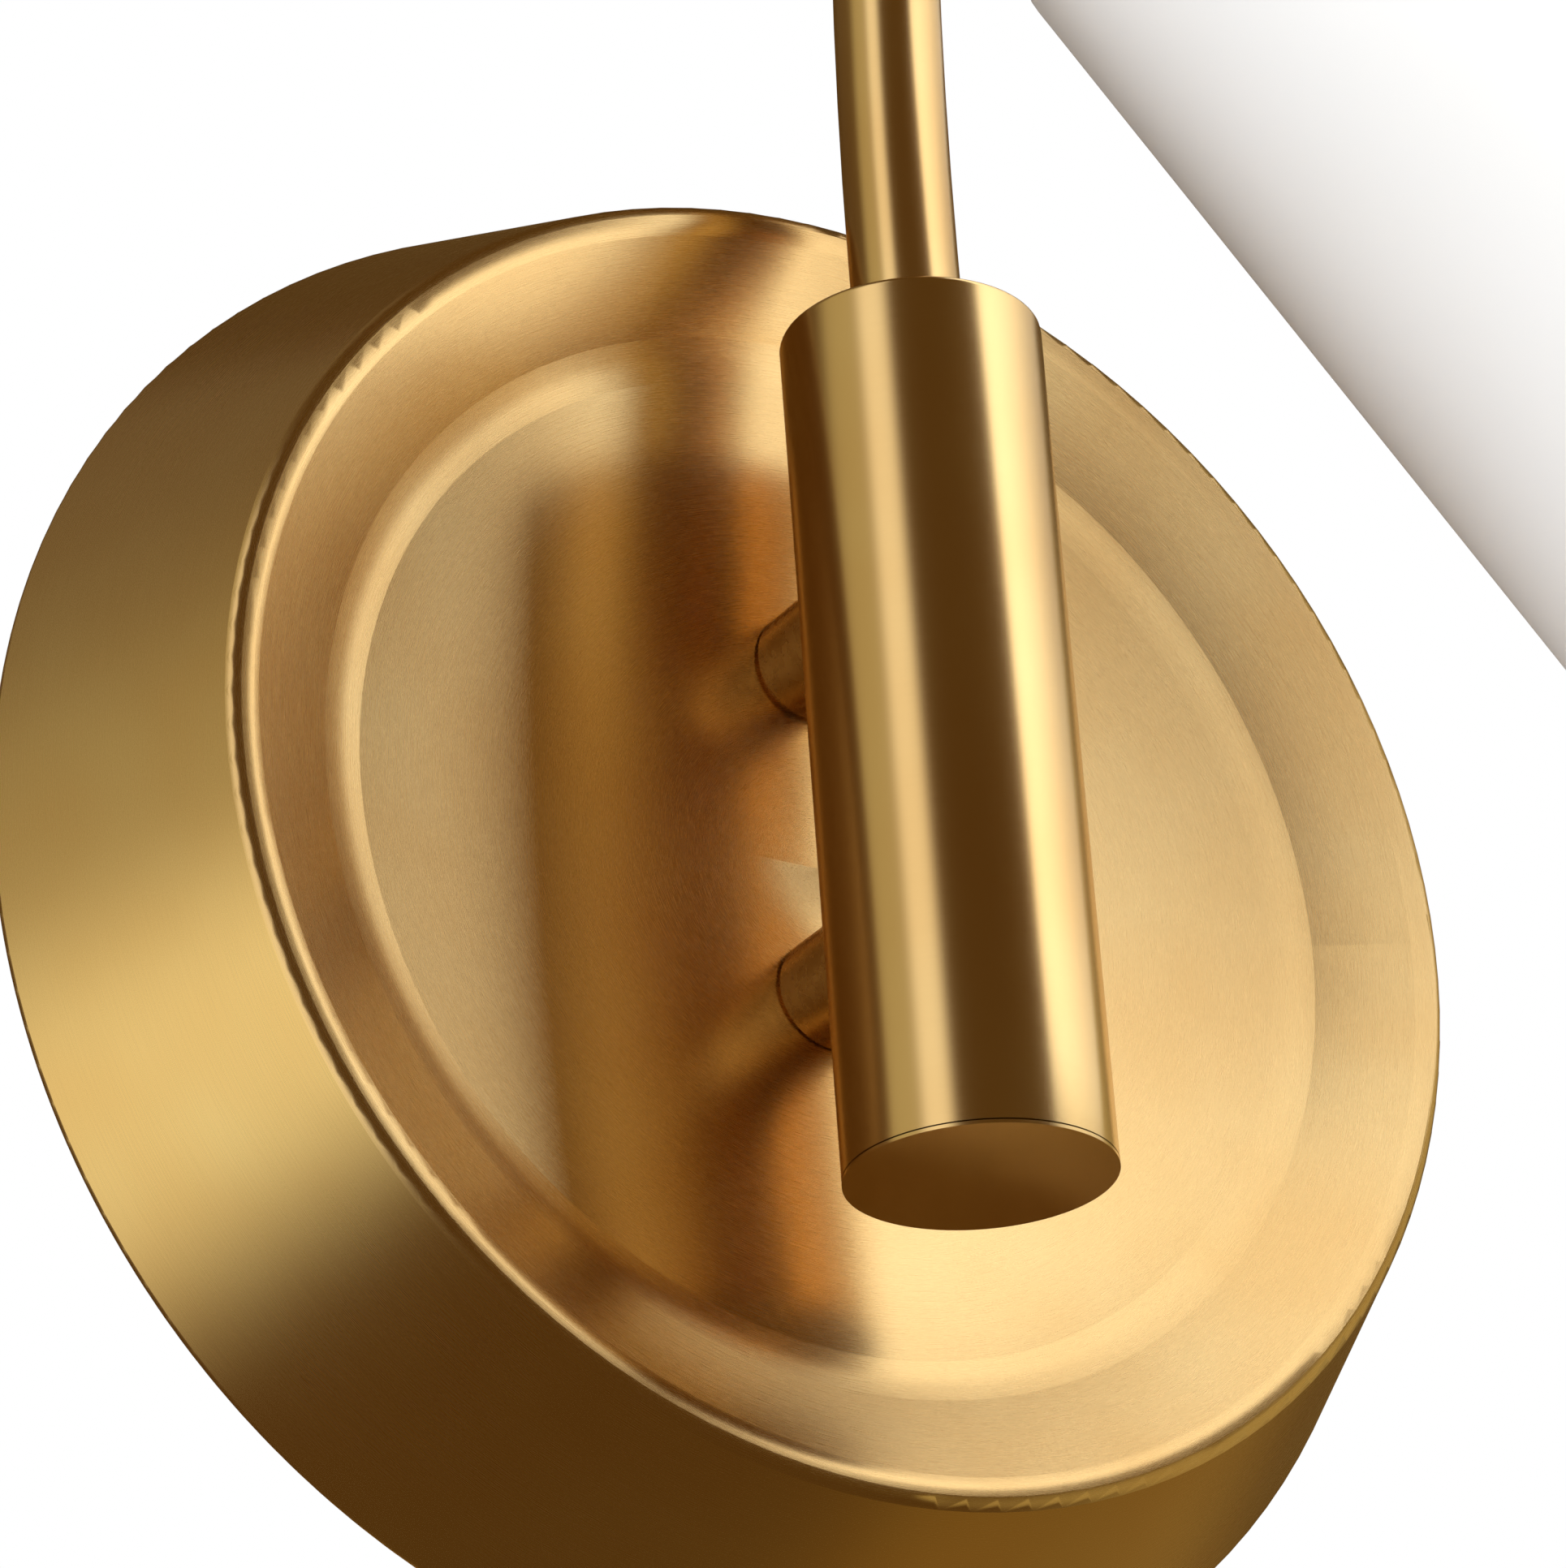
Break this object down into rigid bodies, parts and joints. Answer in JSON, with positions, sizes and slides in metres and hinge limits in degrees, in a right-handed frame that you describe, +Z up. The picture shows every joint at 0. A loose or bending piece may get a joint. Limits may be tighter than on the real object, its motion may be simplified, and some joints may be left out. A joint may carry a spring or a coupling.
{
  "type": "wall sconce",
  "caption": "Brass wall sconce: dished round canopy, upright barrel on short posts, swivelling bent arm and a tilting white cone shade.",
  "frame": {"origin": "centre of the canopy on the wall plane", "axes": "+Y into the wall, +Z up, the light stands out towards -Y"},
  "size_m": [0.2053, 0.1427, 0.2026],
  "materials": {
    "brass": "brushed, satin lacquer",
    "white_paint": "satin white",
    "zinc_steel": "zinc plated",
    "green_paint": "gloss green",
    "porcelain": "glazed white",
    "nylon": "matte natural"
  },
  "bodies": {
    "base": {"canopy": "brass", "wall_bracket": "zinc_steel", "ground_screw": "green_paint", "canopy_screw": "zinc_steel", "canopy_hook": "zinc_steel", "upper_post": "brass", "lower_post": "brass", "post_nipples": "zinc_steel", "post_washers": "zinc_steel", "post_nuts": "zinc_steel", "barrel": "brass", "barrel_cap": "brass", "upper_bush": "brass", "lower_bush": "brass", "friction_washer": "nylon"},
    "arm": {"arm_tube": "brass", "arm_collar": "brass", "stop_pin": "zinc_steel", "spring_washer": "zinc_steel", "arm_nut": "brass", "arm_fork": "brass", "pivot_washers": "nylon", "pivot_screw": "brass", "pivot_nut": "brass"},
    "head": {"swivel_tongue": "brass", "lamp_cup": "brass", "cup_nut": "brass", "lampholder": "porcelain", "screw_shell": "brass", "centre_contact": "brass", "shade_ring": "brass", "shade": "white_paint"}
  },
  "joints": [
    {"name": "arm_swivel", "type": "hinge", "parent": "base", "child": "arm", "pos_m": [0, -0.0376, 0], "axis": [0, 0, 1], "range_deg": [-125, 5]},
    {"name": "head_tilt", "type": "hinge", "parent": "arm", "child": "head", "pos_m": [0.00366, -0.03971, 0.12694], "axis": [-0.5, -0.866, 0], "range_deg": [-3, 75]}
  ]
}
